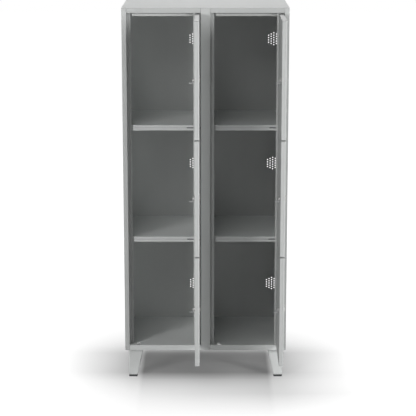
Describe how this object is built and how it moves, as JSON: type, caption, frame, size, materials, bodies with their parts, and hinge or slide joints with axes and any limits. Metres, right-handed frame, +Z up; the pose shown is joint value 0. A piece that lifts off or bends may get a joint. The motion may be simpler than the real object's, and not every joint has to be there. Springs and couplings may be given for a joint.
{
  "type": "compartment locker",
  "caption": "Upright sheet-metal compartment locker with two columns of hinged doors standing open, cam locks, vented back and tapered feet.",
  "frame": {"origin": "bottom centre of the bounding box with the doors standing open at a right angle, on the floor", "axes": "+Z up, the doors open towards -Y, +X to the right of a person who faces the doors"},
  "size_m": [0.8, 0.835, 1.85],
  "materials": {
    "shell": "light grey powder coat, fine texture, low sheen",
    "liner": "light grey powder coat on the doors' inner sheets",
    "glide": "matt dark grey",
    "hinge": "dark zinc plate, satin",
    "lock": "satin nickel plate",
    "cam": "zinc plated"
  },
  "bodies": {
    "cabinet": {"side_panel_left": "shell", "side_panel_right": "shell", "post_left": "shell", "post_centre": "shell", "post_right": "shell", "top_cover": "shell", "bottom_tray": "shell", "centre_partition": "shell", "back_panel": "shell", "foot_front_left": "shell", "glide_front_left": "glide", "foot_front_right": "shell", "glide_front_right": "glide", "foot_rear_left": "shell", "glide_rear_left": "glide", "foot_rear_right": "shell", "glide_rear_right": "glide", "shelf_left_lower": "shell", "shelf_left_upper": "shell", "hinge_plate_left_1": "hinge", "hinge_plate_left_2": "hinge", "hinge_plate_left_3": "hinge", "hinge_plate_left_4": "hinge", "shelf_right_lower": "shell", "shelf_right_upper": "shell", "hinge_plate_right_1": "hinge", "hinge_plate_right_2": "hinge", "hinge_plate_right_3": "hinge", "hinge_plate_right_4": "hinge"},
    "door_left_bottom": {"door_pan_left_bottom": "shell", "door_liner_left_bottom": "liner", "lock_body_left_bottom": "lock"},
    "lock_left_bottom": {"lock_core_left_bottom": "lock", "lock_cam_left_bottom": "cam"},
    "door_left_middle": {"door_pan_left_middle": "shell", "door_liner_left_middle": "liner", "lock_body_left_middle": "lock"},
    "lock_left_middle": {"lock_core_left_middle": "lock", "lock_cam_left_middle": "cam"},
    "door_left_top": {"door_pan_left_top": "shell", "door_liner_left_top": "liner", "lock_body_left_top": "lock"},
    "lock_left_top": {"lock_core_left_top": "lock", "lock_cam_left_top": "cam"},
    "door_right_bottom": {"door_pan_right_bottom": "shell", "door_liner_right_bottom": "liner", "lock_body_right_bottom": "lock"},
    "lock_right_bottom": {"lock_core_right_bottom": "lock", "lock_cam_right_bottom": "cam"},
    "door_right_middle": {"door_pan_right_middle": "shell", "door_liner_right_middle": "liner", "lock_body_right_middle": "lock"},
    "lock_right_middle": {"lock_core_right_middle": "lock", "lock_cam_right_middle": "cam"},
    "door_right_top": {"door_pan_right_top": "shell", "door_liner_right_top": "liner", "lock_body_right_top": "lock"},
    "lock_right_top": {"lock_core_right_top": "lock", "lock_cam_right_top": "cam"}
  },
  "joints": [
    {"name": "door_left_bottom_hinge", "type": "hinge", "parent": "cabinet", "child": "door_left_bottom", "pos_m": [-0.034, -0.0765, 0.18], "axis": [0, 0, 1], "range_deg": [-90, 20]},
    {"name": "door_left_middle_hinge", "type": "hinge", "parent": "cabinet", "child": "door_left_middle", "pos_m": [-0.034, -0.0765, 0.716], "axis": [0, 0, 1], "range_deg": [-90, 20]},
    {"name": "door_left_top_hinge", "type": "hinge", "parent": "cabinet", "child": "door_left_top", "pos_m": [-0.034, -0.0765, 1.2715], "axis": [0, 0, 1], "range_deg": [-90, 20]},
    {"name": "door_right_bottom_hinge", "type": "hinge", "parent": "cabinet", "child": "door_right_bottom", "pos_m": [0.366, -0.0765, 0.18], "axis": [0, 0, 1], "range_deg": [-90, 20]},
    {"name": "door_right_middle_hinge", "type": "hinge", "parent": "cabinet", "child": "door_right_middle", "pos_m": [0.366, -0.0765, 0.716], "axis": [0, 0, 1], "range_deg": [-90, 20]},
    {"name": "door_right_top_hinge", "type": "hinge", "parent": "cabinet", "child": "door_right_top", "pos_m": [0.366, -0.0765, 1.2715], "axis": [0, 0, 1], "range_deg": [-90, 20]},
    {"name": "lock_left_bottom_turn", "type": "hinge", "parent": "door_left_bottom", "child": "lock_left_bottom", "pos_m": [-0.034, -0.3905, 0.455], "axis": [-1, 0, 0], "range_deg": [0, 90]},
    {"name": "lock_left_middle_turn", "type": "hinge", "parent": "door_left_middle", "child": "lock_left_middle", "pos_m": [-0.034, -0.3905, 0.991], "axis": [-1, 0, 0], "range_deg": [0, 90]},
    {"name": "lock_left_top_turn", "type": "hinge", "parent": "door_left_top", "child": "lock_left_top", "pos_m": [-0.034, -0.3905, 1.5465], "axis": [-1, 0, 0], "range_deg": [0, 90]},
    {"name": "lock_right_bottom_turn", "type": "hinge", "parent": "door_right_bottom", "child": "lock_right_bottom", "pos_m": [0.366, -0.3905, 0.455], "axis": [-1, 0, 0], "range_deg": [0, 90]},
    {"name": "lock_right_middle_turn", "type": "hinge", "parent": "door_right_middle", "child": "lock_right_middle", "pos_m": [0.366, -0.3905, 0.991], "axis": [-1, 0, 0], "range_deg": [0, 90]},
    {"name": "lock_right_top_turn", "type": "hinge", "parent": "door_right_top", "child": "lock_right_top", "pos_m": [0.366, -0.3905, 1.5465], "axis": [-1, 0, 0], "range_deg": [0, 90]}
  ]
}
